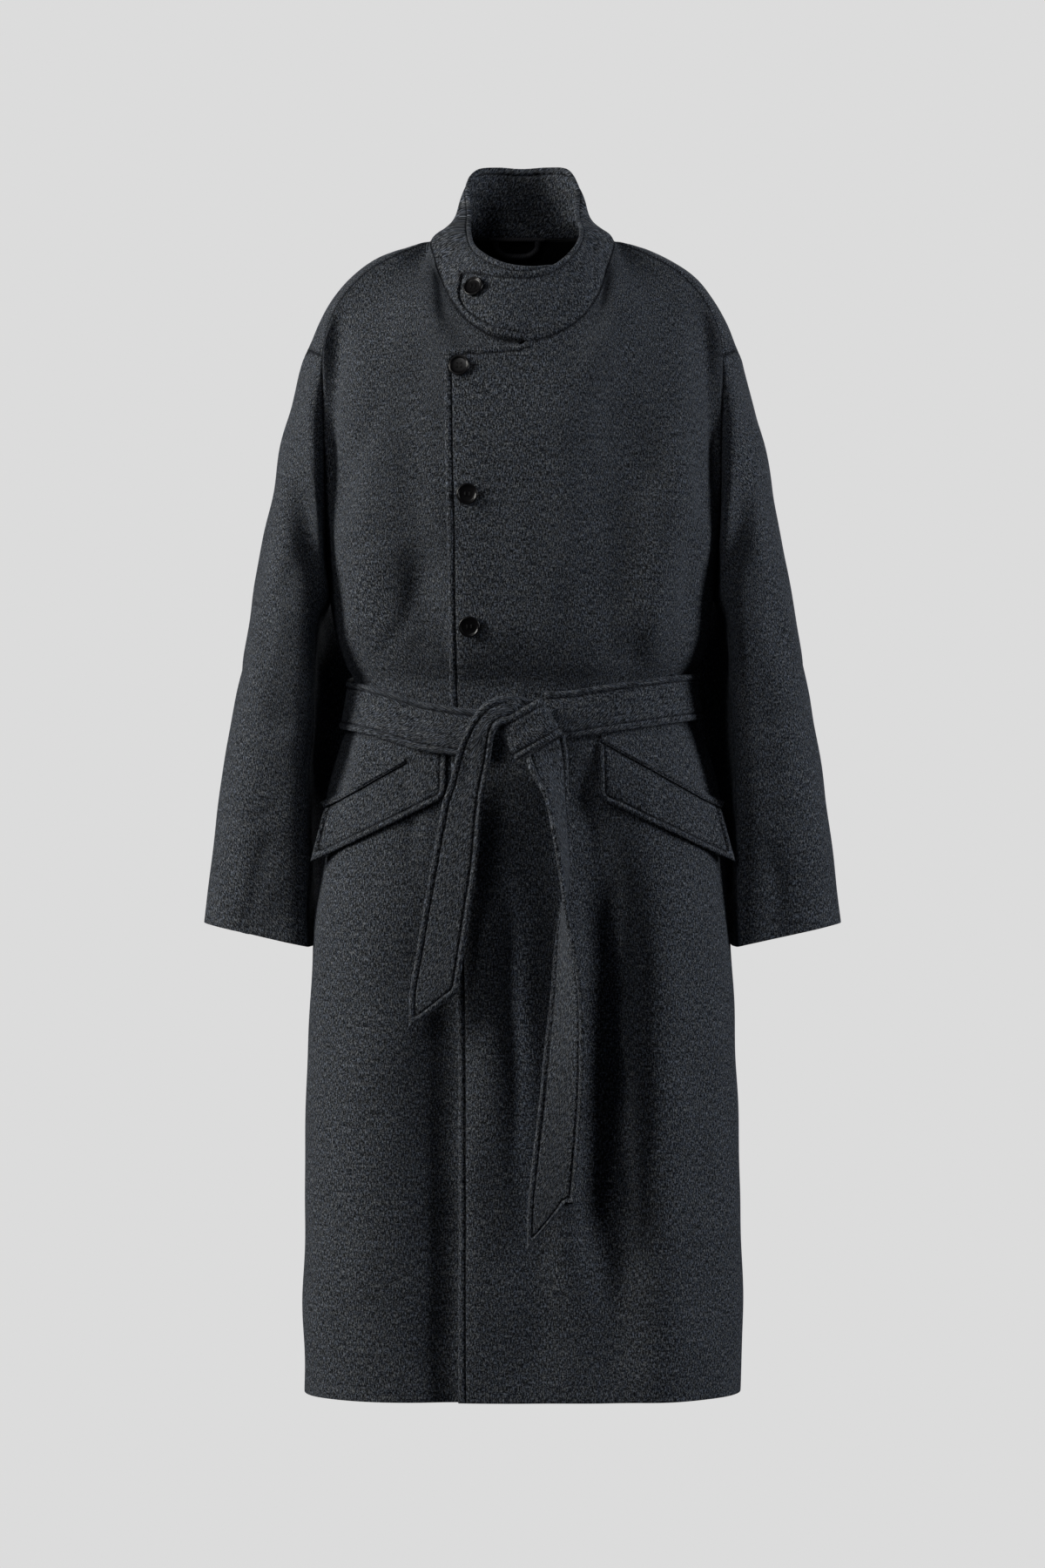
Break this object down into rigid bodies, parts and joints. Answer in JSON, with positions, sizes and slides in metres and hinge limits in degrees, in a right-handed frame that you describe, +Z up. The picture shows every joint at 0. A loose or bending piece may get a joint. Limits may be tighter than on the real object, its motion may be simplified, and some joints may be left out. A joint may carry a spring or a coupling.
{
  "type": "wrap coat",
  "caption": "Long belted wool wrap coat with a tall lapped funnel collar, off-centre buttoned front and slanted pocket flaps.",
  "frame": {"origin": "centre of the base of the neck, where the wearer's neck leaves the shoulders", "axes": "+X towards the wearer's left, -Y towards the front, +Z up"},
  "size_m": [0.6614, 0.298, 1.2707],
  "materials": {
    "wool": "brushed melange wool, matt",
    "lining": "smooth woven lining, slight sheen",
    "button": "moulded, horn-like, satin"
  },
  "bodies": {
    "root": {"back": "wool", "front_left": "wool", "front_right": "wool", "sleeve_left_top": "wool", "sleeve_left_under": "wool", "sleeve_right_top": "wool", "sleeve_right_under": "wool", "collar": "wool", "lining_back": "lining", "hanger_loop": "lining", "flap_left": "wool", "flap_right": "wool", "welt_left": "wool", "welt_right": "wool", "belt_waist": "wool", "belt_knot_wrap": "wool", "belt_knot_loop": "wool", "belt_tail_left": "wool", "belt_tail_right": "wool", "button_1": "button", "button_2": "button", "button_3": "button", "button_4": "button"}
  },
  "joints": []
}
